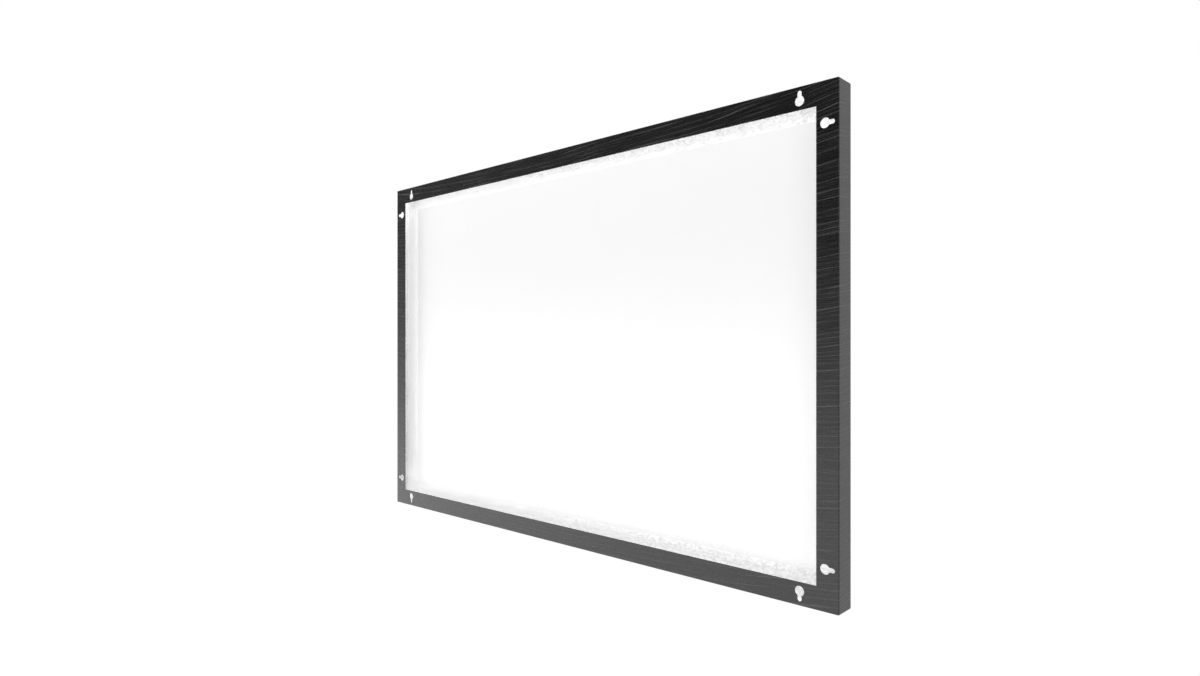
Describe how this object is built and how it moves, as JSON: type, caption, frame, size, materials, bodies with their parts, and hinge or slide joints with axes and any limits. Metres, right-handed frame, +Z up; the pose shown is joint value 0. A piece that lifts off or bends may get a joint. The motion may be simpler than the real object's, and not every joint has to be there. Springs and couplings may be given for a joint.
{
  "type": "led panel light",
  "caption": "Slim rectangular edge-lit panel light: black folded frame with keyholes round a recessed white lit face, and a rear control box with inlet, switch and dimmer.",
  "frame": {"origin": "centre of the front flange's face, which is the centre of both keyhole patterns", "axes": "-Y out of the lit face, +X to the right as seen from the lit side along the panel's long side, +Z up"},
  "size_m": [0.9, 0.082, 0.6],
  "materials": {
    "frame_black": "satin black, fine horizontal grain",
    "lining_white": "matt white",
    "opal": "opal, lit from behind",
    "clear_acrylic": "clear acrylic with printed dots",
    "film_white": "white reflecting film",
    "foam_grey": "closed-cell foam",
    "aluminium": "mill finish",
    "board_white": "white solder resist",
    "led_yellow": "phosphor lens",
    "rail_white": "moulded white",
    "zinc_steel": "zinc plated",
    "cover_black": "fine-texture black powder coat",
    "screw_black": "black oxide",
    "lead_black": "smooth insulation",
    "grommet_rubber": "soft rubber",
    "board_green": "green solder resist",
    "ferrite": "sintered ferrite",
    "winding_tape": "yellow polyester tape",
    "capacitor_sleeve": "shrink sleeve",
    "choke_copper": "enamelled copper wire",
    "semiconductor": "moulded epoxy",
    "terminal_green": "moulded nylon",
    "moulded_black": "satin moulded black",
    "contact_brass": "nickel-flashed brass",
    "knob_black": "soft-touch black",
    "shaft_steel": "turned steel"
  },
  "bodies": {
    "panel": {"front_frame": "frame_black", "white_surround": "lining_white", "diffuser": "opal", "light_guide": "clear_acrylic", "reflector_film": "film_white", "foam_pad": "foam_grey", "heat_rail_top": "aluminium", "heat_rail_bottom": "aluminium", "led_board_top": "board_white", "led_board_bottom": "board_white", "leds_top": "led_yellow", "leds_bottom": "led_yellow", "side_rail_left": "rail_white", "side_rail_right": "rail_white", "corner_bracket_bottom_left": "zinc_steel", "corner_bracket_bottom_right": "zinc_steel", "corner_bracket_top_left": "zinc_steel", "corner_bracket_top_right": "zinc_steel", "edge_blocks": "zinc_steel", "rear_cover": "cover_black", "cover_screws": "zinc_steel", "rail_screws": "zinc_steel", "jumper_lead": "lead_black", "feed_lead": "lead_black", "cable_grommet": "grommet_rubber", "driver_tray": "zinc_steel", "tray_rivets": "aluminium", "driver_housing": "cover_black", "housing_screws": "zinc_steel", "pcb_standoffs": "zinc_steel", "pcb_screws": "zinc_steel", "driver_pcb": "board_green", "transformer_core": "ferrite", "transformer_winding": "winding_tape", "mains_capacitor": "capacitor_sleeve", "output_capacitors": "capacitor_sleeve", "filter_choke": "choke_copper", "heat_sink": "aluminium", "power_transistor": "semiconductor", "input_terminal": "terminal_green", "output_terminal": "terminal_green", "inlet_body": "moulded_black", "inlet_pins": "contact_brass", "inlet_screws": "screw_black", "mains_leads": "lead_black", "dimmer_lead": "lead_black", "switch_body": "moulded_black", "dimmer_pot": "zinc_steel", "pot_nut": "zinc_steel"},
    "rocker": {"power_rocker": "moulded_black"},
    "dial": {"dimmer_knob": "knob_black", "dimmer_shaft": "shaft_steel"}
  },
  "joints": [
    {"name": "power_switch", "type": "hinge", "parent": "panel", "child": "rocker", "pos_m": [0.096, 0.063, -0.242], "axis": [-1, 0, 0], "range_deg": [0, 22]},
    {"name": "dimmer_turn", "type": "hinge", "parent": "panel", "child": "dial", "pos_m": [0.052, 0.064, -0.242], "axis": [0, -1, 0], "range_deg": [0, 300]}
  ]
}
